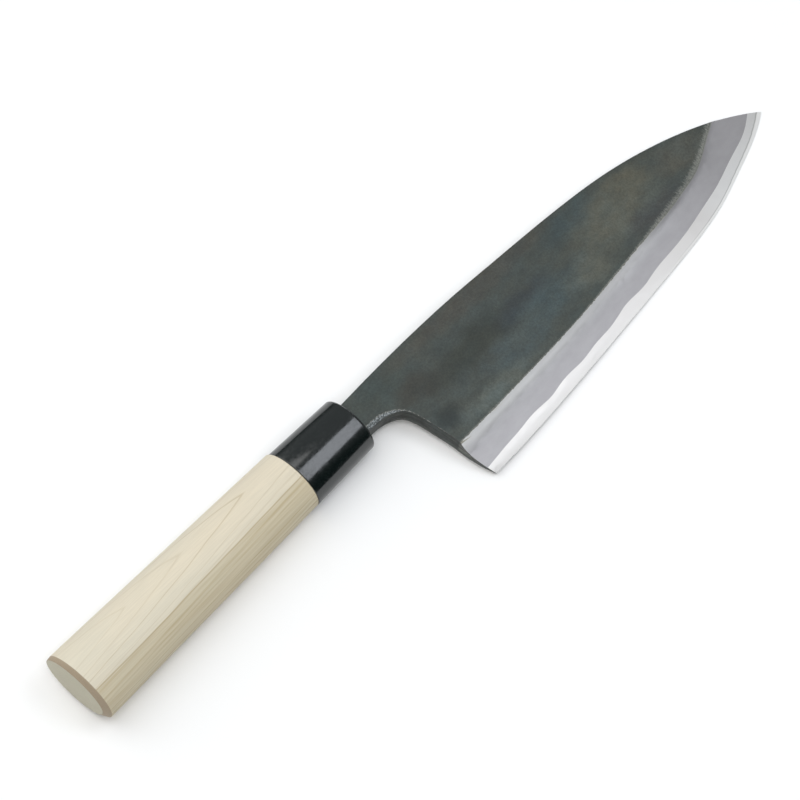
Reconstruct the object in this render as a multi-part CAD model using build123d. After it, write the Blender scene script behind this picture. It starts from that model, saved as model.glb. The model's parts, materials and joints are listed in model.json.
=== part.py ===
from build123d import *
import math
import os

# Deba knife: a thick single-bevel blade of two steels, its tang burned into an oval wooden handle
# with a black ferrule. The pieces are drawn flat and then laid on the table as the knife rests.
# Drawn flat, x runs from the ferrule's front face to the tip, y from the handle's axis to the
# spine, and z from the blade's flat back to its bevelled front. All sizes are in millimetres.

# Blade outline, from the ferrule's front face and the handle's axis
heel_reach = 22.1
blade_length = 179.4
heel_depth = 48.0
tip_depth = 23.6
spine_height = 6.9
neck_rise = 5.9
neck_drop = 7.4

# Blade thickness, bevel and hollow back
neck_thickness = 7.8
tip_thickness = 1.5
bevel_width = 15.3
edge_land = 0.15
hollow_depth = 0.35
hollow_edge_rim = 3.0
hollow_spine_rim = 4.0
filed_edge_width = 2.0
filed_edge_depth = 0.8
spine_rounding = 0.5

# The hard steel starts this far from the ferrule, under the neck
hard_steel_start = 11.5

# Tang, as width and thickness at the neck and at its end
tang_length = 90.0
tang_neck_width = 11.4
tang_neck_thickness = 6.0
tang_end_width = 5.0
tang_end_thickness = 3.0
tang_gap = 0.05
tang_end_gap = 3.0

# Handle ovals, as width across the blade's depth and height across its thickness. The butt's face
# sits toward the spine, so that its chamfer is widest on the edge side.
wood_length = 103.7
wood_butt_width = 28.4
wood_butt_height = 22.4
wood_front_width = 24.5
wood_front_height = 19.4
butt_chamfer = 1.6
butt_face_width = 25.4
butt_face_height = 18.6
butt_face_offset = 1.3
wood_front_rounding = 0.5

# Ferrule, which sits a little off the wood's axis, toward the edge
ferrule_length = 29.5
ferrule_rear_width = 24.2
ferrule_rear_height = 19.2
ferrule_front_width = 22.5
ferrule_front_height = 17.8
ferrule_wall = 1.8
ferrule_offset = 0.3
ferrule_front_rounding = 1.1
ferrule_rear_rounding = 0.4
glue_gap = 0.05

# Cuts run this far past what they cut
overrun = 2.0

# Stations along the blade: share of its length, of the edge's rise from heel to tip, and of the
# bevel's width. Past the last but two, the bevel's top line has left the blade over the spine.
bevel_shares = [
    (0.0, 0.0, 0.985),
    (0.1, 0.014, 0.98),
    (0.21, 0.053, 0.95),
    (0.35, 0.12, 0.91),
    (0.5, 0.202, 0.93),
    (0.62, 0.268, 0.955),
    (0.7, 0.325, 0.96),
    (0.76, 0.394, 0.965),
    (0.81, 0.487, 0.995),
    (0.85, 0.575, 1.08),
    (0.89, 0.662, 1.17),
    (0.945, 0.802, 1.265),
    (1.0, 1.0, 1.32),
]

# Across the bevel from edge to top line: share of its width and of the blade's thickness. It is
# flat from the whetstone near the edge and hollow from the wheel near its top.
bevel_profile_shares = [(0.3, 0.25), (0.6, 0.44), (0.84, 0.65)]

# Spine: share of the blade's length from the heel, and of the drop from the spine to the tip
spine_shares = [
    (0.125, 0.0),
    (0.22, 0.013),
    (0.32, 0.046),
    (0.42, 0.081),
    (0.526, 0.128),
    (0.604, 0.177),
    (0.682, 0.252),
    (0.771, 0.38),
    (0.822, 0.475),
    (0.877, 0.6),
    (0.922, 0.721),
    (0.967, 0.866),
    (1.0, 1.0),
]

# Weld between the two steels: share of the blade's length and of its thickness there. It was
# forged, so it waves.
weld_shares = [
    (0.0, 0.2),
    (0.05, 0.228),
    (0.1, 0.24),
    (0.135, 0.257),
    (0.165, 0.245),
    (0.197, 0.226),
    (0.225, 0.247),
    (0.253, 0.256),
    (0.3, 0.23),
    (0.345, 0.25),
    (0.387, 0.239),
    (0.418, 0.253),
    (0.45, 0.28),
    (0.51, 0.245),
    (0.55, 0.267),
    (0.62, 0.267),
    (0.67, 0.272),
    (0.755, 0.293),
    (0.81, 0.271),
    (0.86, 0.25),
    (0.933, 0.217),
    (0.972, 0.23),
]

# Hollow back: share of the blade's length, of the width between its rims and of its depth
hollow_shares = [
    (0.03, 0.3, 0.05),
    (0.1, 0.85, 0.7),
    (0.3, 1.0, 1.0),
    (0.6, 1.0, 1.0),
    (0.8, 0.9, 0.7),
    (0.92, 0.4, 0.1),
]

# Choil, from the neck's lower edge round to the heel: share of the way from the ferrule to the
# heel, and of the drop from the neck to the heel
choil_shares = [
    (0.249, 0.0),
    (0.407, 0.0135),
    (0.548, 0.042),
    (0.67, 0.087),
    (0.751, 0.167),
    (0.792, 0.266),
    (0.842, 0.441),
    (0.873, 0.581),
    (0.891, 0.741),
    (0.932, 0.874),
]

# Filed lower edge of the neck's front: share of the way from the ferrule to the heel, and of the
# chamfer's size at the ferrule. The file took it down in short straight strokes.
filed_edge_strokes = 16
filed_edge_shares = [
    (0.02, 1.0),
    (0.12, 0.95),
    (0.2, 0.75),
    (0.26, 0.45),
    (0.32, 0.22),
    (0.4, 0.12),
    (0.64, 0.08),
]

# Laid down, the knife balances on this stretch of its curved edge and on the handle: shares of the
# blade's length
resting_shares = (0.85, 0.89)

# Worked out from the sizes above
reach = heel_reach + blade_length
spine_drop = spine_height + tip_depth
edge_rise = heel_depth - tip_depth
axis_height = neck_thickness / 2
neck_centre = (neck_rise - neck_drop) / 2
choil_drop = heel_depth - neck_drop
butt_x = -(ferrule_length + wood_length)


def blade_x(length_share):
    """Distance from the ferrule of a place given as a share of the blade's length."""
    return heel_reach + blade_length * length_share


def thickness_at(x):
    """Thickness of the blade before its bevel. It tapers evenly from the ferrule to the tip."""
    return neck_thickness - (neck_thickness - tip_thickness) * x / reach


def edge_y(rise_share):
    return -heel_depth + edge_rise * rise_share


def spine_y(drop_share):
    return spine_height - spine_drop * drop_share


def cross_plane(x, y=0, z=0):
    """Plane across the knife at x, with its own x toward the spine and its own y up."""
    return Plane(origin=(x, y, z), x_dir=(0, 1, 0), z_dir=(1, 0, 0))


def choil_path():
    """Lower edge of the neck, which curves down into the choil and on to the heel."""
    points = [(0, -neck_drop)]
    points += [(heel_reach * along, -neck_drop - choil_drop * down) for along, down in choil_shares]
    points.append((heel_reach, -heel_depth))
    last = Vector(points[-1]) - Vector(points[-2])
    return Spline(points, tangents=[(1, 0), last])


def blank():
    """Blade and neck cut to outline and tapered in thickness, before any grinding."""
    edge_points = [(blade_x(along), edge_y(rise)) for along, rise, width in bevel_shares]
    spine_points = [(0, neck_rise)] + [(blade_x(along), spine_y(drop)) for along, drop in spine_shares]
    outline = Curve() + [
        choil_path(),
        Spline(edge_points),
        Spline(spine_points),
        Line((0, neck_rise), (0, -neck_drop)),
    ]
    plan = extrude(make_face(outline.edges()), neck_thickness)
    side = Polyline((0, 0), (reach, 0), (reach, tip_thickness), (0, neck_thickness), close=True)
    half_depth = heel_depth + spine_height
    taper = extrude(Plane.XZ * make_face(side), half_depth, both=True)
    return plan & taper


def bevel_section(x, y, width):
    """Closed section of the metal that grinding takes away above the bevel, at one station."""
    thickness = thickness_at(x)
    top = y + width
    curve_points = [(y, edge_land)]
    for across, height in bevel_profile_shares:
        curve_points.append((y + width * across, thickness * height))
    curve_points.append((top, thickness))
    profile = Spline(curve_points)
    foot = (y - overrun, edge_land - overrun * thickness / width)
    above = thickness + overrun
    border = Curve() + [
        profile,
        Polyline((top, thickness), (top + overrun, above), (y - overrun, above), foot, (y, edge_land)),
    ]
    return cross_plane(x) * make_face(border.edges())


def bevel_cut():
    """Metal above the bevel, from before the heel to past the tip."""
    stations = [(blade_x(along), edge_y(rise), bevel_width * width) for along, rise, width in bevel_shares]
    x, y, width = stations[0]
    sections = [bevel_section(x - bevel_width, y, width)]
    sections += [bevel_section(*station) for station in stations]
    x, y, width = stations[-1]
    before_x, before_y, before_width = stations[-2]
    slope = (y - before_y) / (x - before_x)
    sections.append(bevel_section(x + overrun, y + slope * overrun, width))
    return loft(sections)


def hollow_section(along, width_share, depth_share):
    """Shallow arc across the blade's back, between the rims that stay flat on the stone."""
    edge_side = value_at(along, [(share, edge_y(rise)) for share, rise, width in bevel_shares])
    spine_side = value_at(along, [(share, spine_y(drop)) for share, drop in spine_shares])
    low = edge_side + hollow_edge_rim
    high = spine_side - hollow_spine_rim
    centre = (low + high) / 2
    half = (high - low) / 2 * width_share
    depth = hollow_depth * depth_share
    arc = ThreePointArc((centre - half, 0), (centre, depth), (centre + half, 0))
    below = Polyline((centre + half, 0), (centre + half, -overrun), (centre - half, -overrun), (centre - half, 0))
    return cross_plane(blade_x(along)) * make_face((Curve() + [arc, below]).edges())


def value_at(share, table):
    """Value on a straight line between the neighbours of share in a table of pairs."""
    before = [pair for pair in table if pair[0] <= share] or table[:1]
    after = [pair for pair in table if pair[0] > share] or table[-1:]
    (low_share, low_value), (high_share, high_value) = before[-1], after[0]
    if high_share == low_share:
        return low_value
    part = (share - low_share) / (high_share - low_share)
    return low_value + (high_value - low_value) * part


def hollow_cut():
    return loft([hollow_section(*station) for station in hollow_shares])


def filed_edge_cut():
    """Wedge filed off the front lower edge of the neck, which fades out along the choil."""
    path = choil_path()
    slope = filed_edge_depth / filed_edge_width
    start = filed_edge_shares[0][0]
    end = filed_edge_shares[-1][0]
    sections = []
    for stroke in range(filed_edge_strokes + 1):
        along = start + (end - start) * stroke / filed_edge_strokes
        point = path.position_at(along)
        direction = path.tangent_at(along)
        outward = Vector(direction.Y, -direction.X, 0)
        width = filed_edge_width * value_at(along, filed_edge_shares)
        origin = (point.X, point.Y, thickness_at(point.X))
        across = Plane(origin=origin, x_dir=outward, z_dir=direction)
        up = 1 if across.y_dir.Z > 0 else -1
        wedge = Polyline(
            (-width - overrun, up * slope * overrun),
            (overrun, up * slope * overrun),
            (overrun, -up * slope * (width + overrun)),
            close=True,
        )
        sections.append(across * make_face(wedge))
    return loft(sections, ruled=True)


def weld_layer():
    """Everything below the weld, from under the neck to past the tip."""
    line_points = [(hard_steel_start, thickness_at(hard_steel_start) * weld_shares[0][1])]
    for along, height in weld_shares:
        x = blade_x(along)
        line_points.append((x, thickness_at(x) * height))
    line_points.append((reach + overrun, tip_thickness * weld_shares[-1][1]))
    start = line_points[0]
    end = line_points[-1]
    border = Curve() + [
        Spline(line_points),
        Polyline(end, (end[0], -overrun), (start[0], -overrun), start),
    ]
    half_depth = heel_depth + spine_height
    return extrude(Plane.XZ * make_face(border.edges()), half_depth, both=True)


def tang_section(x, gap=0):
    """Section of the tang, or of its hole when there is a gap. It tapers evenly to its end."""
    part = -x / tang_length
    width = tang_neck_width + (tang_end_width - tang_neck_width) * part + 2 * gap
    thickness = tang_neck_thickness + (tang_end_thickness - tang_neck_thickness) * part + 2 * gap
    centre = neck_centre * (1 - part)
    return cross_plane(x, centre, axis_height) * Rectangle(width, thickness)


def tang():
    return loft([tang_section(0), tang_section(-tang_length)], ruled=True)


def tang_hole():
    sections = [tang_section(overrun, tang_gap), tang_section(-tang_length - tang_end_gap, tang_gap)]
    return loft(sections, ruled=True)


def blade_steels():
    """Soft iron body with its tang, and the hard steel welded under it."""
    blade = blank()
    spine_edges = blade.edges().filter_by_position(Axis.Y, -tip_depth, spine_height + overrun)
    long_spine_edges = [edge for edge in spine_edges if edge.length > blade_length / 2]
    top_spine_edge = max(long_spine_edges, key=lambda edge: edge.center().Z)
    blade = fillet(top_spine_edge, spine_rounding)
    blade = blade - bevel_cut() - filed_edge_cut()
    layer = weld_layer()
    hard_steel = (blade & layer) - hollow_cut()
    soft_iron = (blade - layer) + tang()
    return soft_iron, hard_steel


def oval(x, width, height, y=0):
    """Oval section across the handle."""
    return cross_plane(x, y, axis_height) * Ellipse(width / 2, height / 2)


def tenon(gap=0, past=0):
    """Wood inside the ferrule, which is the ferrule's bore less the gap for the glue."""
    wall = 2 * (ferrule_wall + gap)
    rear = oval(-ferrule_length, ferrule_rear_width - wall, ferrule_rear_height - wall, -ferrule_offset)
    growth = 1 + past / ferrule_length
    front_width = ferrule_rear_width + (ferrule_front_width - ferrule_rear_width) * growth
    front_height = ferrule_rear_height + (ferrule_front_height - ferrule_rear_height) * growth
    front = oval(past, front_width - wall, front_height - wall, -ferrule_offset)
    return loft([rear, front], ruled=True)


def handle_wood():
    """Oval wood handle with a chamfered butt, the tenon for the ferrule and the tang's hole."""
    butt = oval(butt_x, butt_face_width, butt_face_height, butt_face_offset)
    widest = oval(butt_x + butt_chamfer, wood_butt_width, wood_butt_height)
    front = oval(-ferrule_length, wood_front_width, wood_front_height)
    body = loft([butt, widest, front], ruled=True)
    front_rim = body.edges().sort_by(Axis.X)[-1]
    body = fillet(front_rim, wood_front_rounding)
    return body + tenon(glue_gap) - tang_hole()


def ferrule_ring():
    """Tapered black ring with rounded rims, glued over the tenon."""
    rear = oval(-ferrule_length, ferrule_rear_width, ferrule_rear_height, -ferrule_offset)
    front = oval(0, ferrule_front_width, ferrule_front_height, -ferrule_offset)
    ring = loft([rear, front], ruled=True)
    rims = ring.edges().filter_by(GeomType.ELLIPSE).sort_by(Axis.X)
    ring = fillet(rims[-1], ferrule_front_rounding)
    rear_rim = ring.edges().sort_by(Axis.X)[0]
    ring = fillet(rear_rim, ferrule_rear_rounding)
    return ring - tenon(past=overrun)


def resting_line():
    """Start and slope, seen from above, of the stretch of edge that rests on the table."""
    edge = [(along, edge_y(rise)) for along, rise, width in bevel_shares]
    start, end = resting_shares
    x = blade_x(start)
    y = value_at(start, edge)
    return x, y, (value_at(end, edge) - y) / (blade_x(end) - x)


def slope_to_touch(x, width, height):
    """Slope about the resting line at which the table touches the oval at x."""
    line_x, line_y, line_slope = resting_line()
    depth = -line_y - line_slope * (x - line_x)
    square = depth**2 - (width / 2) ** 2
    linear = 2 * axis_height * depth
    constant = axis_height**2 - (height / 2) ** 2
    return (math.sqrt(linear**2 - 4 * square * constant) - linear) / (2 * square)


def table():
    """Table top under the resting knife: it touches the edge near the tip and the handle."""
    slope = max(
        slope_to_touch(butt_x + butt_chamfer, wood_butt_width, wood_butt_height),
        slope_to_touch(-ferrule_length, wood_front_width, wood_front_height),
        slope_to_touch(0, ferrule_front_width, ferrule_front_height),
    )
    line_x, line_y, line_slope = resting_line()
    along = slope * line_slope
    return Plane(origin=(line_x, line_y, 0), x_dir=(1, 0, along), z_dir=(-along, slope, 1))


def lay_down(pieces):
    """The pieces at rest on the table, with the origin under the middle of the whole knife."""
    table_top = table()
    resting = {name: table_top.to_local_coords(piece) for name, piece in pieces.items()}
    box = Compound(list(resting.values())).bounding_box()
    centre = Location((-(box.min.X + box.max.X) / 2, -(box.min.Y + box.max.Y) / 2, -box.min.Z))
    return {name: piece.moved(centre) for name, piece in resting.items()}


soft_iron, hard_steel = blade_steels()
knife = lay_down(
    {
        "soft_iron_body": soft_iron,
        "hard_steel_edge": hard_steel,
        "handle": handle_wood(),
        "ferrule": ferrule_ring(),
    }
)

os.makedirs("parts", exist_ok=True)
for name, piece in knife.items():
    export_step(piece, f"parts/{name}.step")
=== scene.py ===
import json
import math

import bpy
from mathutils import Euler, Matrix, Vector

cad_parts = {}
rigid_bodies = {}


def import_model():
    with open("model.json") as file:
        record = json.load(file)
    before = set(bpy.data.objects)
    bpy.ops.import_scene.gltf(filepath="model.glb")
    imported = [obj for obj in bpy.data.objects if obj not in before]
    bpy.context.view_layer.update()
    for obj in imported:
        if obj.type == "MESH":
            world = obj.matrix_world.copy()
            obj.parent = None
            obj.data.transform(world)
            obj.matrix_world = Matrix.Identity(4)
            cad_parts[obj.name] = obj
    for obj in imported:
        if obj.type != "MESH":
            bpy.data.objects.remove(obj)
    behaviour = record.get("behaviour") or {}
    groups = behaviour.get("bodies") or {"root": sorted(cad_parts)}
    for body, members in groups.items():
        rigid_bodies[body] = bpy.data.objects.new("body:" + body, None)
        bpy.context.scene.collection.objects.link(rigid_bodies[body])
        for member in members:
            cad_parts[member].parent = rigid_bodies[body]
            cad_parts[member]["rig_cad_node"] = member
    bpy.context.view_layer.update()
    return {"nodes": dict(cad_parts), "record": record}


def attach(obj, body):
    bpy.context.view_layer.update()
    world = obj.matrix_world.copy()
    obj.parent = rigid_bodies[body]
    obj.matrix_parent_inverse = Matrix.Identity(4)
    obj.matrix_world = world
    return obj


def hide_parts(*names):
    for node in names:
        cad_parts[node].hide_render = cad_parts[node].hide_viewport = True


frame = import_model()

# The studio: a table top covered in plain white, a high softbox over the spine and a low one behind
# it, one overhead that shines in the ferrule and the bevel, one that fills the shadows, and pale walls,
# dark on the side of the knife's edge. The camera looks down from the side of the handle and the edge.
camera_azimuth = -52.172  # degrees
camera_elevation = 62.23
camera_roll = 3.947
camera_distance = 1.0058
camera_target = Vector((-0.01206, 0.01304, 0))
camera_lens = 130.3  # mm, on a sensor 36 mm wide

# Each softbox: where it hangs and what it is aimed at, its length and width, its radiance and tint
softboxes = {
    "key_softbox": ((-0.25, 0.6, 1.25), (0.0, 0.0, 0.0), 1.1, 1.1, 1.5, "#FFFFFF"),
    "rear_softbox": ((-0.3, 1.1, 0.6), (0.0, 0.0, 0.0), 1.1, 0.7, 1.1, "#FFFFFF"),
    "overhead_softbox": ((0.38, -0.316, 0.947), (0.38, 0.0, 0.0), 0.48, 0.65, 3.0, "#F2F7FF"),
    "fill_softbox": ((-0.42, -0.38, 1.5), (0.0, 0.0, 0.0), 1.0, 1.0, 3.3, "#FFFFFF"),
}
wall_radiance = 0.39
far_wall_radiance = 0.03  # the wall that the edge faces
far_wall_reach = (-0.9, -0.3)  # in directions from the knife, -1 being square to that wall
skyline_radiance = 0.05  # where the walls meet the table
skyline_reach = (0.0, 0.35)  # in directions from the knife, 1 being straight up
wall_white = "#F4F6F9"
table_width = 8.0
cloth_white = "#F8F8F7"


def linear(hex_colour):
    """An sRGB hex colour as the linear RGBA that shaders and lights take."""
    channels = [int(hex_colour[place:place + 2], 16) / 255 for place in (1, 3, 5)]
    return [c / 12.92 if c <= 0.04045 else ((c + 0.055) / 1.055) ** 2.4 for c in channels] + [1.0]


def add(tree, kind, settings=None, inputs=()):
    """Adds a node with its settings. Its inputs come in their order or by name, each with a value or
    with what is linked to it: a socket, or a node, which stands for its first output."""
    node = tree.nodes.new("ShaderNode" + kind)
    for name, value in (settings or {}).items():
        setattr(node, name, value)
    in_use = [socket for socket in node.inputs if socket.enabled]
    for key, value in inputs.items() if isinstance(inputs, dict) else enumerate(inputs):
        socket = node.inputs[key] if isinstance(key, str) else in_use[key]
        if isinstance(value, bpy.types.Node):
            value = next(output for output in value.outputs if output.enabled)
        if isinstance(value, bpy.types.NodeSocket):
            tree.links.new(value, socket)
        else:
            socket.default_value = value
    return node


def new_material(name):
    """An empty node material and its tree."""
    material = bpy.data.materials.new(name)
    material.use_nodes = True
    material.node_tree.nodes.clear()
    return material, material.node_tree


scene = bpy.context.scene
scene.view_settings.view_transform = "Standard"

tilt = math.radians(camera_elevation)
turn = math.radians(camera_azimuth)
toward_camera = Vector((math.sin(turn) * math.cos(tilt), -math.cos(turn) * math.cos(tilt), math.sin(tilt)))
camera = bpy.data.objects.new("camera", bpy.data.cameras.new("camera"))
camera.data.lens = camera_lens
camera.location = camera_target + toward_camera * camera_distance
aim = Euler((math.pi / 2 - tilt, 0, turn)).to_matrix() @ Matrix.Rotation(math.radians(camera_roll), 3, "Z")
camera.rotation_euler = aim.to_euler()
scene.collection.objects.link(camera)
scene.camera = camera

for name, (middle, target, length, width, radiance, tint) in softboxes.items():
    softbox = bpy.data.objects.new(name, bpy.data.lights.new(name, "AREA"))
    softbox.data.color = linear(tint)[:3]
    softbox.data.shape = "RECTANGLE"
    softbox.data.size = length
    softbox.data.size_y = width
    softbox.data.energy = radiance * math.pi * length * width
    softbox.location = middle
    softbox.rotation_euler = (Vector(target) - Vector(middle)).to_track_quat("-Z", "Y").to_euler()
    scene.collection.objects.link(softbox)

# A MapRange node set so eases its first input from one value to another
ease = {"interpolation_type": "SMOOTHSTEP"}
world = bpy.data.worlds.new("pale_walls")
world.use_nodes = True
tree = world.node_tree
tree.nodes.clear()
around = add(tree, "TexCoord").outputs["Generated"]
direction = add(tree, "SeparateXYZ", inputs=(around,)).outputs
from_side = (direction["Y"], *far_wall_reach, far_wall_radiance, wall_radiance)
side_light = add(tree, "MapRange", ease, from_side)
wall_light = add(tree, "MapRange", ease, (direction["Z"], *skyline_reach, skyline_radiance, side_light))
walls = add(tree, "Background", inputs=(linear(wall_white), wall_light))
add(tree, "OutputWorld", inputs={"Surface": walls})
scene.world = world

bpy.ops.object.select_all(action="DESELECT")
bpy.ops.mesh.primitive_plane_add(size=table_width, location=(0, 0, 0))
cloth = bpy.context.active_object
cloth.name = "table_cloth"
# Plain white cotton, which shines nowhere
cloth_material, tree = new_material("white_cloth")
cloth_shader = add(tree, "BsdfDiffuse", inputs={"Color": linear(cloth_white)})
add(tree, "OutputMaterial", inputs={"Surface": cloth_shader})
cloth.data.materials.append(cloth_material)

# The soft iron body: the blade's cladding, neck and tang, forged in one piece. The flat keeps the
# black scale of the forge fire, and the bevel below it is ground bare on a wheel and a stone.
mm = 0.001
mounts = {mount["name"]: mount for mount in frame["record"]["mounts"]}
handle_length = 133.2 * mm
knife_x = -Vector(mounts["butt_face"]["axis"])
knife_z = -Vector(mounts["back_flat"]["axis"])
knife_y = knife_z.cross(knife_x)
butt_centre = Vector(mounts["butt_face"]["pos_m"])
axis_height = 3.9 * mm
knife_origin = butt_centre + knife_x * handle_length - knife_z * axis_height
knife_turn = Matrix((knife_x, knife_y, knife_z)).transposed()
knife_place = Matrix.Translation(knife_origin) @ knife_turn.to_4x4()
front_point = Vector(mounts["front_flat"]["pos_m"])
front_normal = Vector(mounts["front_flat"]["axis"])

smooth_angle = math.radians(11)
weld_distance = 0.001 * mm
flat_tolerance = 0.004 * mm
most_lean = math.radians(20)  # of a corner's shading from its own face


def only(piece):
    """Selects one object and nothing else, and makes it the active one."""
    bpy.ops.object.select_all(action="DESELECT")
    piece.select_set(True)
    bpy.context.view_layer.objects.active = piece


def select_faces(piece, wanted):
    """Selects in edit mode the faces whose middle and normal pass a test, and nothing else."""
    bpy.ops.mesh.select_mode(type="FACE")
    bpy.ops.mesh.select_all(action="DESELECT")
    bpy.ops.object.mode_set(mode="OBJECT")
    for face in piece.data.polygons:
        face.select = wanted(face.center, face.normal)
    bpy.ops.object.mode_set(mode="EDIT")


def cad_copy(node, name, ground_faces):
    """A copy of a CAD piece with its loose triangles joined, shaded smooth but for its creases.
    Each kind of ground face, given as a test, is creased along its border."""
    piece = frame["nodes"][node].copy()
    piece.data = piece.data.copy()
    piece.parent = None
    piece.name = name
    del piece["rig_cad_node"]
    scene.collection.objects.link(piece)
    only(piece)
    bpy.ops.object.mode_set(mode="EDIT")
    bpy.ops.mesh.select_all(action="SELECT")
    bpy.ops.mesh.remove_doubles(threshold=weld_distance)
    bpy.ops.mesh.normals_make_consistent(inside=False)
    bpy.ops.object.mode_set(mode="OBJECT")
    bpy.ops.object.shade_smooth_by_angle(angle=smooth_angle)
    bpy.ops.object.mode_set(mode="EDIT")
    for wanted in ground_faces:
        select_faces(piece, wanted)
        bpy.ops.mesh.region_to_loop()
        bpy.ops.mesh.mark_sharp()
    bpy.ops.object.mode_set(mode="OBJECT")
    by_area = piece.modifiers.new("even_shading", "WEIGHTED_NORMAL")
    by_area.mode = "FACE_AREA"
    by_area.weight = 100
    by_area.keep_sharp = True
    bpy.ops.object.modifier_apply(modifier=by_area.name)
    shaded = [Vector(corner.vector) for corner in piece.data.corner_normals]
    for face in piece.data.polygons:
        for corner in face.loop_indices:
            if shaded[corner].angle(face.normal, 0) > most_lean:
                shaded[corner] = face.normal
    piece.data.normals_split_custom_set(shaded)
    piece.data.materials.clear()
    return piece


def in_front_flat(middle, normal):
    return abs((middle - front_point).dot(front_normal)) < flat_tolerance


def faces_down(middle, normal):
    return normal.dot(knife_z) < 0


soft_iron_body = cad_copy("soft_iron_body", "soft_iron", [in_front_flat, faces_down])

# What Math and VectorMath nodes work out, and how a Mix node lays its second colour on its first
times = {"operation": "MULTIPLY"}
plus = {"operation": "ADD"}
minus = {"operation": "SUBTRACT"}
divided = {"operation": "DIVIDE"}
absolute = {"operation": "ABSOLUTE"}
dot_product = {"operation": "DOT_PRODUCT"}
brighten = {"operation": "SCALE"}
lay_on = {"data_type": "RGBA"}
glaze = {"data_type": "RGBA", "blend_type": "MULTIPLY"}


def knife_millimetres(tree):
    """Places in the knife's own frame: x along it from the ferrule, y to the spine, z to its front."""
    turned_back = knife_place.inverted()
    per_mm = Vector((1, 1, 1)) / mm
    place = add(tree, "TexCoord").outputs["Object"]
    moved = (place, turned_back.translation / mm, turned_back.to_euler(), per_mm)
    return add(tree, "Mapping", {"vector_type": "POINT"}, moved)


def depth_below_front(tree):
    """How far a place lies under the plane of the blade's flat front, in millimetres."""
    place = add(tree, "TexCoord").outputs["Object"]
    level = add(tree, "VectorMath", dot_product, (place, front_normal / mm))
    return add(tree, "Math", minus, (front_point.dot(front_normal) / mm, level))


def facing(tree, direction):
    """Cosine of the angle between the bare surface and a direction."""
    surface = add(tree, "NewGeometry").outputs["True Normal"]
    return add(tree, "VectorMath", dot_product, (surface, direction))


def mottled(tree, place, per_mm, stretch=(1, 1, 1), detail=2.0, roughness=0.5):
    """Irregular marks, so many to a millimetre, stretched along the knife's axes."""
    stretched = add(tree, "Mapping", {"vector_type": "TEXTURE"}, {"Vector": place, "Scale": stretch})
    marks = {"Vector": stretched, "Scale": per_mm, "Detail": detail, "Roughness": roughness}
    return add(tree, "TexNoise", inputs=marks)


# The part of a mottled pattern's range that is used, for soft and for clearer marks
soft_marks = (0.3, 0.7)
clear_marks = (0.35, 0.65)


def scale_colour(tree, place):
    """Colour of the forge scale, with the soft stains that the fire left on the flat."""
    scale_grey = "#383E3B"
    # Place along and across the blade, reach along and across, and tone of each stain, in mm
    stains = [
        ((14, 0), (18, 9), "#333C39"),
        ((26, -9), (14, 7), "#2E2F2A"),
        ((70, 3), (60, 6), "#3D3D38"),
        ((52, -12), (32, 9), "#272D28"),
        ((24, -24), (8, 7), "#202827"),
        ((46, -29), (34, 5), "#4C5350"),
        ((76, -13), (20, 7), "#2C3438"),
        ((64, -22), (26, 7), "#3B4546"),
        ((88, -19), (28, 9), "#384446"),
        ((112, -3), (22, 8), "#323D3E"),
        ((104, -22), (16, 8), "#4C504A"),
        ((128, -13), (30, 14), "#4E5048"),
        ((142, -7), (16, 7), "#4B4B41"),
        ((140, -23), (22, 7), "#393B3A"),
        ((164, -14), (18, 10), "#44453F"),
    ]
    reach_in_depth = 1000.0  # a stain looks the same at any depth
    stain_fade = (0.0, 0.75)
    most_stain = 0.9
    drift_mm = Vector((9, 9, 9))  # how far the outline of a stain wanders
    no_drift = Vector((0.5, 0.5, 0.5))
    drift_marks = {"Vector": place, "Scale": 0.09, "Detail": 4.0, "Roughness": 0.6}
    drift = add(tree, "TexNoise", inputs=drift_marks).outputs["Color"]
    shift = add(tree, "VectorMath", minus, (drift, no_drift))
    drifted = add(tree, "VectorMath", {"operation": "MULTIPLY_ADD"}, (shift, drift_mm, place))
    colour = linear(scale_grey)
    for middle, reach, tone in stains:
        oval = {"Vector": drifted, "Location": (*middle, 0), "Scale": (*reach, reach_in_depth)}
        ring = add(tree, "Mapping", {"vector_type": "TEXTURE"}, oval)
        spot = add(tree, "TexGradient", {"gradient_type": "SPHERICAL"}, (ring,)).outputs["Fac"]
        share = add(tree, "MapRange", ease, (spot, *stain_fade, 0.0, most_stain))
        colour = add(tree, "Mix", lay_on, (share, colour, linear(tone)))
    # Clouds and grain darken and brighten the scale, and the heat tinted it cool or warm
    cloudy_strength = (0.94, 1.25)
    grainy_strength = (0.78, 1.22)
    grain_marks = (0.25, 0.75)
    cool_heat_tint = "#F6FCFC"
    warm_heat_tint = "#FFFAF0"
    clouds = mottled(tree, place, per_mm=0.22, stretch=(1.6, 1, 1), detail=5.0, roughness=0.65)
    cloudy = add(tree, "MapRange", ease, (clouds, *soft_marks, *cloudy_strength))
    grain = mottled(tree, place, per_mm=1.3, detail=3.0, roughness=0.7)
    grainy = add(tree, "MapRange", ease, (grain, *grain_marks, *grainy_strength))
    strength = add(tree, "Math", times, (cloudy, grainy))
    heat = mottled(tree, place, per_mm=0.13, stretch=(1.5, 1, 1), detail=4.0, roughness=0.6)
    warm = add(tree, "MapRange", ease, (heat, *clear_marks))
    tinted = add(tree, "Mix", lay_on, (warm, linear(cool_heat_tint), linear(warm_heat_tint)))
    colour = add(tree, "Mix", glaze, (1.0, colour, tinted))
    return add(tree, "VectorMath", brighten, (colour, strength))


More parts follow.
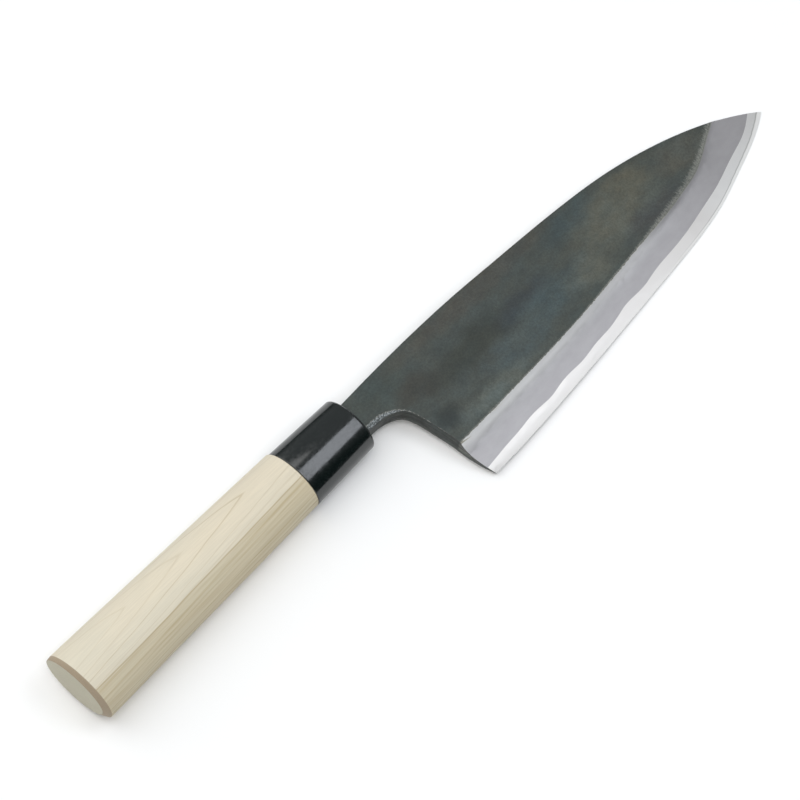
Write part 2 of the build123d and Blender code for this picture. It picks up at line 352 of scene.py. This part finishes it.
def blade_bump(tree, place, ground):
    """Shallow hammer marks and a fine grain in the scale, and stone lines where it is ground off."""
    hammer_depth = 0.02 * mm
    grain_depth = 0.012 * mm
    stone_depth = 0.002 * mm
    hammered = add(tree, "Math", times, (mottled(tree, place, per_mm=0.07), hammer_depth))
    grain = mottled(tree, place, per_mm=1.6, detail=4.0, roughness=0.7)
    grained = add(tree, "Math", times, (grain, grain_depth))
    forged = add(tree, "Math", plus, (hammered, grained))
    stone_lines = mottled(tree, place, per_mm=2.2, stretch=(1, 12, 1), detail=3.0)
    honed = add(tree, "Math", times, (stone_lines, stone_depth))
    relief = add(tree, "Mix", inputs=(ground, forged, honed))
    return add(tree, "Bump", inputs={"Strength": 1.0, "Distance": 1.0, "Height": relief})


def blade_thickness(tree, along):
    """Thickness of the blade before its bevel, an even taper from neck to tip, in millimetres."""
    neck_mm = 7.8
    tip_mm = 1.5
    reach_mm = 201.5
    lost = add(tree, "Math", times, (along, (neck_mm - tip_mm) / reach_mm))
    return add(tree, "Math", minus, (neck_mm, lost))


def above_bevel(tree, along, across):
    """How far a place on the flat lies from the bevel's top line, in millimetres across the blade."""
    line_mm = [(22, -32.9), (60, -32.2), (85, -31.2), (112, -28.8), (133, -26.9), (148, -25.4)]
    line_mm += [(158, -23.6), (167, -20.9), (175, -17.4), (182, -14.0), (202, -3.4)]
    chart_mm = 210.0  # length and height of the chart that the curve is drawn in
    chart_foot_mm = -40.0
    curve = add(tree, "FloatCurve", inputs={"Value": add(tree, "Math", divided, (along, chart_mm))})
    points = curve.mapping.curves[0].points
    for number, (x, y) in enumerate(line_mm):
        spot = (x / chart_mm, (y - chart_foot_mm) / chart_mm)
        if number < 2:  # a new curve comes with two points
            points[number].location = spot
        else:
            points.new(*spot)
    curve.mapping.update()
    line = add(tree, "Math", times, (curve, chart_mm))
    line = add(tree, "Math", plus, (line, chart_foot_mm))
    return add(tree, "Math", minus, (across, line))


# Black forge scale over mild steel. The scale is a thin grey-black oxide, dull and clouded blue
# and brown, and where it is ground away the bare iron is a soft matt grey.
iron_grey = "#A8A6A7"
bevel_highlight_grey = "#D8D9D9"  # painted highlight just under the bevel's top line, where the steep bevel faces the light
worn_and_highlight_white = "#D2CFBE"  # the line itself, worn and with a painted highlight along its crease, whiter at the heel than at the tip
worn_grey = "#8F908A"
scratch_grey = "#80817A"
filed_black = "#3F4443"
filed_grey = "#959C9E"
tip_wear_mm = (105.0, 160.0)  # along the blade, where the wear of the heel gives way to the tip's
# Depths under the front: where bare iron starts at the least, and at the most at heel and tip
line_top_mm = 0.02
ragged_mm = (0.33, 0.06)
worn_mm = (0.08, 0.3)  # depth in which the scale wears off, at heel and tip
bare_above_bevel_mm = (0.8, 1.6)  # above the bevel's top line, where the scale is whole for certain
heel_mm = (26.0, 32.0)  # along the knife, where neck and choil end
neck_edge_mm = (-4.0, 0.0)  # across the knife, where the neck's lower edge ends
filed_mm = (-29.0, -26.0)  # across the knife, where the filed edge ends and the bevel starts
highlight_share = (0.2, 0.55)  # of the blade's thickness, where the painted highlight fades
highlight_fade_mm = (50.0, 100.0)  # along the blade, where it fades a little from the heel
fringe_mm = (0.8, 3.6)  # how far the stone's scratches run over the line, at heel and tip
front_cosine = (0.5, 0.6)  # between a face and the front, where the walls end and the front starts
# The part of each mottled pattern that shows, from none of the mark to all of it
ragged_marks = (0.35, 0.8)
scratch_marks = (0.6, 1.1)
speckle_marks = (0.45, 0.6)
scratch_help = 0.4  # added to the scratches' pattern right at the line
# Shares of the painted highlight left at the tip and past the heel, and how bright clouds and file streaks
# are
highlight_left_at_tip = 0.1
highlight_left_past_heel = 0.75
stone_clouds = (0.97, 1.03)
file_streaks = (0.3, 1.0)
highlight_metallic = 0.15
scale_roughness = (0.44, 0.58)
iron_roughness = 0.5
iron_shine = 0.5
wall_shine = 0.28

iron_material, tree = new_material("forge_scale_and_ground_iron")
place = knife_millimetres(tree)
axes = add(tree, "SeparateXYZ", inputs=(place,))
along = axes.outputs["X"]
across = axes.outputs["Y"]
toward_tip = add(tree, "MapRange", ease, (along, *tip_wear_mm))
depth = depth_below_front(tree)
ragged = mottled(tree, place, per_mm=0.9, detail=3.0, roughness=0.7)
line_foot = add(tree, "MapRange", ease, (toward_tip, 0.0, 1.0, *ragged_mm))
line_depth = add(tree, "MapRange", ease, (ragged, *ragged_marks, line_top_mm, line_foot))
past_line = add(tree, "Math", minus, (depth, line_depth))
wear = add(tree, "MapRange", ease, (toward_tip, 0.0, 1.0, *worn_mm))
below_line = add(tree, "MapRange", ease, (add(tree, "Math", divided, (past_line, wear)), 0.0, 1.0))
front_side = add(tree, "MapRange", ease, (facing(tree, front_normal), *front_cosine))
ground = add(tree, "Math", times, (below_line, front_side))
# The spine's rounded edge keeps its scale: only the bevel and the lower edge of the neck are bare
over_line = above_bevel(tree, along, across)
on_bevel = add(tree, "MapRange", ease, (over_line, *bare_above_bevel_mm, 1.0, 0.0))
at_heel = add(tree, "MapRange", ease, (along, *heel_mm, 1.0, 0.0))
below_neck = add(tree, "MapRange", ease, (across, *neck_edge_mm, 1.0, 0.0))
on_neck_edge = add(tree, "Math", times, (at_heel, below_neck))
can_be_bare = add(tree, "Math", {"operation": "MAXIMUM"}, (on_bevel, on_neck_edge))
ground = add(tree, "Math", times, (ground, can_be_bare))

# Painted highlight: the bare iron is painted lighter just under the line, where the steep bevel faces the
# light, less so toward the tip
depth_share = add(tree, "Math", divided, (depth, blade_thickness(tree, along)))
near_line_highlight = add(tree, "MapRange", ease, (depth_share, *highlight_share, 1.0, 0.0))
highlight_to_tip = add(tree, "MapRange", ease, (toward_tip, 0.0, 1.0, 1.0, highlight_left_at_tip))
near_line_highlight = add(tree, "Math", times, (near_line_highlight, highlight_to_tip))
highlight_from_heel = add(tree, "MapRange", ease, (along, *highlight_fade_mm, 1.0, highlight_left_past_heel))
near_line_highlight = add(tree, "Math", times, (near_line_highlight, highlight_from_heel))
iron_colour = add(tree, "Mix", lay_on, (near_line_highlight, linear(iron_grey), linear(bevel_highlight_grey)))
stone_marks = mottled(tree, place, per_mm=0.35, stretch=(2, 1, 1), detail=4.0, roughness=0.6)
stone_cloud = add(tree, "MapRange", ease, (stone_marks, *soft_marks, *stone_clouds))
iron_colour = add(tree, "VectorMath", brighten, (iron_colour, stone_cloud))

# The stone ran over the line in short scratches, more so toward the tip
fringe = add(tree, "MapRange", ease, (toward_tip, 0.0, 1.0, *fringe_mm))
from_line = add(tree, "Math", divided, (over_line, fringe))
scratched = add(tree, "MapRange", ease, (from_line, 0.0, 1.0, scratch_help, 0.0))
scratches = mottled(tree, place, per_mm=2.2, stretch=(1, 3, 1), detail=4.0, roughness=0.75)
scratched = add(tree, "Math", plus, (scratched, scratches))
scratched = add(tree, "MapRange", ease, (scratched, *scratch_marks))
scale = add(tree, "Mix", lay_on, (scratched, scale_colour(tree, place), linear(scratch_grey)))
# The bevel's top line: wear, and a painted highlight along its crease
worn_and_highlit_line = add(tree, "Mix", lay_on, (toward_tip, linear(worn_and_highlight_white), linear(worn_grey)))
half_bare = add(tree, "MapRange", ease, (ground, 0.0, 0.5))
colour = add(tree, "Mix", lay_on, (half_bare, scale, worn_and_highlit_line))
all_bare = add(tree, "MapRange", ease, (ground, 0.5, 1.0))
colour = add(tree, "Mix", lay_on, (all_bare, colour, iron_colour))

# The lower edge of the neck is only filed, dull and speckled with what is left of the scale
speckles = mottled(tree, place, per_mm=1.8, detail=3.0, roughness=0.7)
speckled = add(tree, "MapRange", ease, (speckles, *speckle_marks))
filed_colour = add(tree, "Mix", lay_on, (speckled, linear(filed_black), linear(filed_grey)))
filed = add(tree, "MapRange", ease, (across, *filed_mm))
filed = add(tree, "Math", times, (filed, at_heel))
filed = add(tree, "Math", times, (filed, ground))
colour = add(tree, "Mix", lay_on, (filed, colour, filed_colour))
# The walls of neck and choil are dull and streaked lengthwise by the file
file_marks = mottled(tree, place, per_mm=1.3, stretch=(12, 12, 1))
streaks = add(tree, "MapRange", ease, (file_marks, *clear_marks, *file_streaks))
streaks = add(tree, "MapRange", ease, (front_side, 0.0, 1.0, streaks, 1.0))
colour = add(tree, "VectorMath", brighten, (colour, streaks))
shine = add(tree, "MapRange", ease, (front_side, 0.0, 1.0, wall_shine, iron_shine))
gloss_marks = mottled(tree, place, per_mm=0.5, detail=4.0, roughness=0.65)
scale_gloss = add(tree, "MapRange", ease, (gloss_marks, *soft_marks, *scale_roughness))
roughness = add(tree, "MapRange", ease, (ground, 0.0, 1.0, scale_gloss, iron_roughness))
# Under the painted highlight, and where it is filed, the iron scatters the light rather than mirroring it
# as metal does
metal_off_highlight = add(tree, "MapRange", ease, (near_line_highlight, 0.0, 1.0, 1.0, highlight_metallic))
metallic = add(tree, "Math", times, (ground, metal_off_highlight))
metallic = add(tree, "Math", times, (metallic, add(tree, "Math", minus, (1.0, filed))))
iron_shader = add(
    tree,
    "BsdfPrincipled",
    inputs={
        "Base Color": colour,
        "Metallic": metallic,
        "Roughness": roughness,
        "Specular IOR Level": shine,
        "Normal": blade_bump(tree, place, ground),
    },
)
add(tree, "OutputMaterial", inputs={"Surface": iron_shader})
soft_iron_body.data.materials.append(iron_material)
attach(soft_iron_body, "root")
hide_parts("soft_iron_body")

# The hard steel edge: a thin layer of carbon steel forge-welded under the iron. It shows as the
# bright strip along the edge, with a wavy weld line, and as the hollow ground back.
weld_rise = 0.5  # least share of the weld face's normal that points to the knife's front
weld_slope = 0.01  # and most that points to its spine or edge


def on_weld(middle, normal):
    return normal.dot(knife_z) > weld_rise and abs(normal.dot(knife_y)) < weld_slope


hard_steel_edge = cad_copy("hard_steel_edge", "hard_steel", [on_weld])

# Carbon steel, honed bright on fine stones. The wall at the heel keeps its forge scale.
steel_white = "#D0CDC9"
# painted highlight: the steel is painted whiter toward the tip
tip_highlight_white = "#E2E1DE"
# painted highlight of the small second bevel, and painted shade of the thin line beside it
second_bevel_highlight_white = "#EFEFEC"
fine_line_shade_grey = "#8A8A84"
tip_highlight_mm = (145.0, 170.0)  # along the blade, where the steel is painted whiter as a highlight
second_bevel_mm = (120.0, 165.0)  # and where the second bevel comes in
edge_land_mm = 0.15  # height of the edge itself over the back
second_top_share = 0.045  # of the blade's thickness
fine_line_share = 0.012
second_highlight_strength = 0.45
fine_line_shade_strength = 0.5
bevel_cosine = (0.4, 0.5)  # between a face and the front, and then the back, where it is honed
back_cosine = (0.6, 0.8)
heel_wall_roughness = 0.5
honed_roughness = 0.4

steel_material, tree = new_material("honed_carbon_steel")
place = knife_millimetres(tree)
axes = add(tree, "SeparateXYZ", inputs=(place,))
along = axes.outputs["X"]
front_side = add(tree, "MapRange", ease, (facing(tree, front_normal), *bevel_cosine))
back_side = add(tree, "MapRange", ease, (facing(tree, -knife_z), *back_cosine))
ground = add(tree, "Math", {"operation": "MAXIMUM"}, (front_side, back_side))
# Toward the tip a second, very small bevel, which the mesh does not have, is painted whiter as a highlight
# beside a thin line of painted shade along its crease
near_tip = add(tree, "MapRange", ease, (along, *second_bevel_mm))
above_edge = add(tree, "Math", minus, (axes.outputs["Z"], edge_land_mm))
above_edge = add(tree, "Math", divided, (above_edge, blade_thickness(tree, along)))
off_line = add(tree, "Math", absolute, (add(tree, "Math", minus, (above_edge, second_top_share)),))
fine_line_shade = add(tree, "MapRange", ease, (off_line, 0.0, fine_line_share, fine_line_shade_strength, 0.0))
fine_line_shade = add(tree, "Math", times, (near_tip, fine_line_shade))
second_reach = (second_top_share, second_top_share - fine_line_share)
second_bevel_highlight = add(tree, "MapRange", ease, (above_edge, *second_reach, 0.0, second_highlight_strength))
second_bevel_highlight = add(tree, "Math", times, (near_tip, second_bevel_highlight))
second_bevel_highlight = add(tree, "Math", times, (second_bevel_highlight, front_side))
# Painted highlight: the steel is painted whiter toward the tip
toward_tip_highlight = add(tree, "MapRange", ease, (along, *tip_highlight_mm))
honed = add(tree, "Mix", lay_on, (toward_tip_highlight, linear(steel_white), linear(tip_highlight_white)))
honed = add(tree, "Mix", lay_on, (second_bevel_highlight, honed, linear(second_bevel_highlight_white)))
honed = add(tree, "Mix", lay_on, (fine_line_shade, honed, linear(fine_line_shade_grey)))
steel_shader = add(
    tree,
    "BsdfPrincipled",
    inputs={
        "Base Color": add(tree, "Mix", lay_on, (ground, scale_colour(tree, place), honed)),
        "Metallic": add(tree, "Math", minus, (ground, second_bevel_highlight)),
        "Roughness": add(tree, "MapRange", ease, (ground, 0.0, 1.0, heel_wall_roughness, honed_roughness)),
        "Normal": blade_bump(tree, place, ground),
    },
)
add(tree, "OutputMaterial", inputs={"Surface": steel_shader})
hard_steel_edge.data.materials.append(steel_material)
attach(hard_steel_edge, "root")
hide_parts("hard_steel_edge")

# The handle: an oval of pale magnolia wood, turned and sanded, with a chamfered butt. Its tenon
# fills the ferrule and is burned out for the tang.
wood_length = 103.7 * mm
ferrule_length = handle_length - wood_length
butt_oval = Vector((28.4, 22.4)) * mm
front_oval = Vector((24.5, 19.4)) * mm
butt_chamfer = 1.6 * mm
butt_face_oval = Vector((25.4, 18.6)) * mm
butt_face_offset = 1.3 * mm
chamfer_softness = 0.12 * mm
front_rounding = 0.5 * mm
ferrule_wall = 1.8 * mm
ferrule_rear_oval = Vector((24.2, 19.2)) * mm
ferrule_front_oval = Vector((22.5, 17.8)) * mm
ferrule_offset = 0.3 * mm
glue_gap = 0.05 * mm
tang_hole_neck = Vector((11.5, 6.1)) * mm
tang_hole_end = Vector((4.9, 3.0)) * mm
tang_hole_depth = 93.0 * mm
tang_hole_offset = 0.75 * mm
overrun = 2.0 * mm
oval_sides = 160
end_on = 0.9  # least share of an end face's normal along the knife
square_on = 0.95  # the same where faces of a rounding lie beside it
handle_smooth_angle = math.radians(25)


def reshape_oval(x, old, new, offset):
    """Scales the selected end from one oval to another."""
    bpy.ops.transform.resize(
        value=(1, new.x / old.x, new.y / old.y), center_override=(x, offset, axis_height)
    )


def oval_rod(name, start, start_oval, end, end_oval, offset=0.0):
    """A solid oval rod along x, tapered from its start to its end, left in edit mode."""
    bpy.ops.object.select_all(action="DESELECT")
    bpy.ops.mesh.primitive_cylinder_add(
        vertices=oval_sides,
        radius=1,
        depth=1,
        location=((start + end) / 2, offset, axis_height),
        rotation=(0, math.pi / 2, 0),
        scale=(start_oval.y / 2, start_oval.x / 2, end - start),
    )
    piece = bpy.context.active_object
    piece.name = name
    bpy.ops.object.transform_apply(location=True, rotation=True, scale=True)
    bpy.ops.object.mode_set(mode="EDIT")
    select_faces(piece, lambda middle, normal: normal.x > end_on)
    reshape_oval(end, start_oval, end_oval, offset)
    return piece


def bevel_rims(piece, places, width, segments):
    """Rounds the rims that lie across the piece at the given places along x."""
    only(piece)
    bpy.ops.object.mode_set(mode="EDIT")
    bpy.ops.mesh.select_mode(type="EDGE")
    bpy.ops.mesh.select_all(action="DESELECT")
    bpy.ops.object.mode_set(mode="OBJECT")
    points = piece.data.vertices
    for edge in piece.data.edges:
        ends = [points[corner].co.x for corner in edge.vertices]
        edge.select = any(max(abs(end - x) for end in ends) < weld_distance for x in places)
    bpy.ops.object.mode_set(mode="EDIT")
    bpy.ops.mesh.bevel(offset=width, segments=segments, profile=0.5, affect="EDGES")
    bpy.ops.object.mode_set(mode="OBJECT")


def lay_on_table(piece):
    """Takes a piece from the flat drawing to where the knife rests, with its place in its mesh."""
    piece.matrix_world = knife_place
    only(piece)
    bpy.ops.object.transform_apply(location=True, rotation=True, scale=True)


handle = oval_rod("handle_wood", butt_chamfer - handle_length, butt_oval, -ferrule_length, front_oval)
select_faces(handle, lambda middle, normal: normal.x < -end_on)
bpy.ops.mesh.extrude_region_move(TRANSFORM_OT_translate={"value": (-butt_chamfer, butt_face_offset, 0)})
reshape_oval(-handle_length, butt_oval, butt_face_oval, butt_face_offset)
bpy.ops.object.mode_set(mode="OBJECT")
bevel_rims(handle, (-handle_length, butt_chamfer - handle_length), chamfer_softness, segments=2)
bevel_rims(handle, (-ferrule_length,), front_rounding, segments=5)

wall = Vector((ferrule_wall + glue_gap, ferrule_wall + glue_gap)) * 2
tenon_rear = ferrule_rear_oval - wall
tenon_front = ferrule_front_oval - wall
only(handle)
bpy.ops.object.mode_set(mode="EDIT")
select_faces(handle, lambda middle, normal: normal.x > square_on)
seat_oval = front_oval - Vector((front_rounding, front_rounding)) * 2
bpy.ops.mesh.extrude_region_move(TRANSFORM_OT_translate={"value": (0, -ferrule_offset, 0)})
reshape_oval(-ferrule_length, seat_oval, tenon_rear, -ferrule_offset)
bpy.ops.mesh.extrude_region_move(TRANSFORM_OT_translate={"value": (ferrule_length, 0, 0)})
reshape_oval(0, tenon_rear, tenon_front, -ferrule_offset)
bpy.ops.object.mode_set(mode="OBJECT")

bpy.ops.object.select_all(action="DESELECT")
bpy.ops.mesh.primitive_cube_add(
    size=1,
    location=((overrun - tang_hole_depth) / 2, -tang_hole_offset / 2, axis_height),
    scale=(tang_hole_depth + overrun, tang_hole_neck.x, tang_hole_neck.y),
)
tang_hole = bpy.context.active_object
bpy.ops.object.transform_apply(location=True, rotation=True, scale=True)
bpy.ops.object.mode_set(mode="EDIT")
select_faces(tang_hole, lambda middle, normal: normal.x < -end_on)
reshape_oval(-tang_hole_depth, tang_hole_neck, tang_hole_end, -tang_hole_offset / 2)
bpy.ops.object.mode_set(mode="OBJECT")
burn_out = handle.modifiers.new("tang_hole", "BOOLEAN")
burn_out.operation = "DIFFERENCE"
burn_out.solver = "EXACT"
burn_out.object = tang_hole
only(handle)
bpy.ops.object.modifier_apply(modifier=burn_out.name)
bpy.data.objects.remove(tang_hole)
bpy.ops.object.shade_smooth_by_angle(angle=handle_smooth_angle)
lay_on_table(handle)

# Magnolia wood, bare and sanded. It is even and pale, with fine brown lines where each year's
# growth ends: arrow shapes on the spine's side, and close straight lines down the other.
warm_wood = "#D8CEB8"
cool_wood = "#D4CDB9"
year_brown = "#B3A27E"
strong_brown = "#A8946F"
# the next tint paints shade on the wood below the strong line
quartered_shade_tint = "#F2F0E8"
chamfer_brown = "#A4947D"
end_grey = "#C0BBA6"
end_brown = "#AD9E83"
pith_middle = (-106.7, -10.2, -23.3)  # mm, outside the handle, below its edge side
pith_tilt = (0.0, math.radians(-1.2), math.radians(1.6))
ring_mm = 1.5
uneven_per_year = 0.7
wander_mm = 1.6
kink_mm = 6.2  # across the knife, on the spine's side
kink_slope = 0.17
strong_slope = 0.032  # of the strong line, which runs a little to the spine's side toward the tip
strong_drop_mm = (2.7, 3.3)  # how far it runs below the middle at the ferrule, as it wanders
strong_width_mm = 0.4
quartered_mm = (0.5, -0.7)  # across the strong line, where the wood below it begins
arrow_late_start = 0.8  # part of a year at which its darker late wood starts
quartered_late_start = 0.5
late_full = 0.94  # and at which it is darkest, and ends
year_end = (0.95, 1.0)
faintest_year = 0.25
line_strengths = (0.55, 0.75)  # on the spine's side and below the strong line
strong_strength = 0.65
streak_strength = 0.4
end_line_strength = 0.25
end_cosine = (0.93, 0.98)  # between a face and the butt, where the end is cut straight across
rim_below_mm = 0.1  # where the chamfer's tint fades, before and past its rim
rim_past_mm = 0.05
fibre_strengths = (0.96, 1.04)  # how bright the fibres are
fibre_depth = 0.02 * mm
sanded_roughness = 0.62
wood_ior = 1.45

wood_material, tree = new_material("sanded_magnolia")
place = knife_millimetres(tree)
axes = add(tree, "SeparateXYZ", inputs=(place,))
along = axes.outputs["X"]
across = axes.outputs["Y"]
pith = {"Vector": place, "Location": pith_middle, "Rotation": pith_tilt}
around_pith = add(tree, "Mapping", {"vector_type": "TEXTURE"}, pith)
flat_to_pith = add(tree, "VectorMath", times, (around_pith, (0, 1, 1)))  # all but its place along it
radius = add(tree, "VectorMath", {"operation": "LENGTH"}, (flat_to_pith,))
wander = mottled(tree, place, per_mm=0.05, stretch=(3, 1, 1))
wander = add(tree, "Math", times, (wander, wander_mm))
# The rings are kinked along one line on the spine's side, which points their arrows
from_kink = add(tree, "Math", absolute, (add(tree, "Math", minus, (across, kink_mm)),))
kinked = add(tree, "Math", minus, (radius, add(tree, "Math", times, (from_kink, kink_slope))))
years = add(tree, "Math", divided, (add(tree, "Math", plus, (kinked, wander)), ring_mm))
uneven_marks = {"W": years, "Scale": uneven_per_year, "Detail": 1}
uneven = add(tree, "TexNoise", {"noise_dimensions": "1D"}, uneven_marks)
years = add(tree, "Math", plus, (years, uneven))
part_of_year = add(tree, "Math", {"operation": "FRACT"}, (years,))
year = add(tree, "Math", {"operation": "FLOOR"}, (years,))
year_strength = add(tree, "TexWhiteNoise", {"noise_dimensions": "1D"}, (year,))
fibre_marks = mottled(tree, place, per_mm=2.4, stretch=(30, 1, 1), detail=3.0, roughness=0.6)
fibres = add(tree, "MapRange", ease, (fibre_marks, *soft_marks, *fibre_strengths))
patches = mottled(tree, place, per_mm=0.06, stretch=(3, 1, 1))
patchy = add(tree, "MapRange", ease, (patches, *soft_marks))
pale_wood = add(tree, "Mix", lay_on, (patchy, linear(warm_wood), linear(cool_wood)))

# Below one strong line down the handle, toward the edge's side, the wood's lines are close and straight,
# and the wood there is painted darker as shade
strong_line = add(tree, "Math", times, (along, strong_slope))
strong_marks = mottled(tree, place, per_mm=0.05, stretch=(2, 1, 1))
strong_drop = add(tree, "MapRange", ease, (strong_marks, *soft_marks, *strong_drop_mm))
strong_line = add(tree, "Math", minus, (strong_line, strong_drop))
past_strong = add(tree, "Math", minus, (across, strong_line))
quartered_and_shaded = add(tree, "MapRange", ease, (past_strong, *quartered_mm))
off_strong = add(tree, "Math", absolute, (past_strong,))
strong = add(tree, "MapRange", ease, (off_strong, 0.0, strong_width_mm, strong_strength, 0.0))
late_starts = (arrow_late_start, quartered_late_start)
late_start = add(tree, "MapRange", ease, (quartered_and_shaded, 0.0, 1.0, *late_starts))
late = add(tree, "MapRange", ease, (part_of_year, late_start, late_full))
ended = add(tree, "MapRange", ease, (part_of_year, *year_end, 1.0, 0.0))
line = add(tree, "Math", times, (late, ended))
faint_or_clear = add(tree, "MapRange", ease, (year_strength, 0.0, 1.0, faintest_year, 1.0))
line = add(tree, "Math", times, (line, faint_or_clear))
streak_marks = mottled(tree, place, per_mm=1.1, stretch=(40, 1, 1))
streaks = add(tree, "MapRange", ease, (streak_marks, *clear_marks))
streaks = add(tree, "Math", times, (streaks, quartered_and_shaded))
streaks = add(tree, "Math", times, (streaks, streak_strength))
line = add(tree, "Math", plus, (line, streaks))
# Painted shade: the wood below the strong line is tinted darker
pale_wood = add(tree, "Mix", glaze, (quartered_and_shaded, pale_wood, linear(quartered_shade_tint)))
line_strength = add(tree, "MapRange", ease, (quartered_and_shaded, 0.0, 1.0, *line_strengths))
line_share = add(tree, "Math", times, (line, line_strength))
side_colour = add(tree, "Mix", lay_on, (line_share, pale_wood, linear(year_brown)))
side_colour = add(tree, "Mix", lay_on, (strong, side_colour, linear(strong_brown)))

# The chamfer and the end are cut across the grain, so they are duller
chamfer_rim_mm = (butt_chamfer / mm - rim_below_mm, butt_chamfer / mm + rim_past_mm)
from_butt = add(tree, "Math", plus, (along, handle_length / mm))
chamfered = add(tree, "MapRange", ease, (from_butt, *chamfer_rim_mm, 1.0, 0.0))
cut_across = add(tree, "MapRange", ease, (facing(tree, -knife_x), *end_cosine))
end_line = add(tree, "Math", times, (line, end_line_strength))
end_colour = add(tree, "Mix", lay_on, (end_line, linear(end_grey), linear(end_brown)))
colour = add(tree, "Mix", lay_on, (chamfered, side_colour, linear(chamfer_brown)))
colour = add(tree, "Mix", lay_on, (cut_across, colour, end_colour))
colour = add(tree, "VectorMath", brighten, (colour, fibres))
fibre_relief = add(tree, "Math", times, (fibres, fibre_depth))
fibre_bump = add(tree, "Bump", inputs={"Strength": 1.0, "Distance": 1.0, "Height": fibre_relief})
wood_shader = add(
    tree,
    "BsdfPrincipled",
    inputs={"Base Color": colour, "Roughness": sanded_roughness, "IOR": wood_ior, "Normal": fibre_bump},
)
add(tree, "OutputMaterial", inputs={"Surface": wood_shader})
handle.data.materials.append(wood_material)
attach(handle, "root")
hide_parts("handle")

# The ferrule: a tapered ring of glossy black resin, turned and buffed, with rounded rims. It is
# glued over the tenon and keeps the wood from splitting.
ferrule_front_rounding = 1.1 * mm
ferrule_rear_rounding = 0.4 * mm
cap_reach = 1.0 * mm  # the flat ends inside the bore have their middles this near its axis
ferrule = oval_rod(
    "ferrule_ring", -ferrule_length, ferrule_rear_oval, 0.0, ferrule_front_oval, -ferrule_offset
)
bpy.ops.object.mode_set(mode="OBJECT")
bevel_rims(ferrule, (0.0,), ferrule_front_rounding, segments=8)
bevel_rims(ferrule, (-ferrule_length,), ferrule_rear_rounding, segments=4)
bore = Vector((ferrule_wall, ferrule_wall)) * 2
only(ferrule)
bpy.ops.object.mode_set(mode="EDIT")
for side, rounding, rim in (
    (-1, ferrule_rear_rounding, ferrule_rear_oval),
    (1, ferrule_front_rounding, ferrule_front_oval),
):
    select_faces(ferrule, lambda middle, normal: normal.x * side > square_on)
    end_face = rim - Vector((rounding, rounding)) * 2
    bpy.ops.mesh.extrude_region_move(TRANSFORM_OT_translate={"value": (0, 0, 0)})
    reshape_oval(0, end_face, rim - bore, -ferrule_offset)
select_faces(
    ferrule,
    lambda middle, normal: abs(normal.x) > square_on and abs(middle.y + ferrule_offset) < cap_reach,
)
bpy.ops.mesh.delete(type="FACE")
bpy.ops.mesh.select_mode(type="EDGE")
bpy.ops.mesh.select_non_manifold()
bpy.ops.mesh.bridge_edge_loops()
bpy.ops.mesh.select_all(action="SELECT")
bpy.ops.mesh.normals_make_consistent(inside=False)
bpy.ops.object.mode_set(mode="OBJECT")
bpy.ops.object.shade_smooth_by_angle(angle=handle_smooth_angle)
lay_on_table(ferrule)

# Black resin, turned and buffed. It is deep and glossy, with soft waves from the buffing wheel
# and patches that handling has dulled.
resin_black = "#050D0C"
handled_black = "#0C1615"
buffed_roughness = 0.08
handled_roughness = 0.22
resin_ior = 1.72
buff_depth = 0.035 * mm

resin_material, tree = new_material("buffed_black_resin")
place = knife_millimetres(tree)
waves = mottled(tree, place, per_mm=0.25, stretch=(3, 1, 1))
buffing = add(tree, "Math", times, (waves, buff_depth))
buffed_bump = add(tree, "Bump", inputs={"Strength": 1.0, "Distance": 1.0, "Height": buffing})
handled = mottled(tree, place, per_mm=0.9, detail=5.0, roughness=0.65)
dulled = add(tree, "MapRange", ease, (handled, *soft_marks, buffed_roughness, handled_roughness))
resin_colour = add(tree, "Mix", lay_on, (handled, linear(resin_black), linear(handled_black)))
resin_shader = add(
    tree,
    "BsdfPrincipled",
    inputs={"Base Color": resin_colour, "Roughness": dulled, "IOR": resin_ior, "Normal": buffed_bump},
)
add(tree, "OutputMaterial", inputs={"Surface": resin_shader})
ferrule.data.materials.append(resin_material)
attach(ferrule, "root")
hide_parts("ferrule")

bpy.context.view_layer.update()
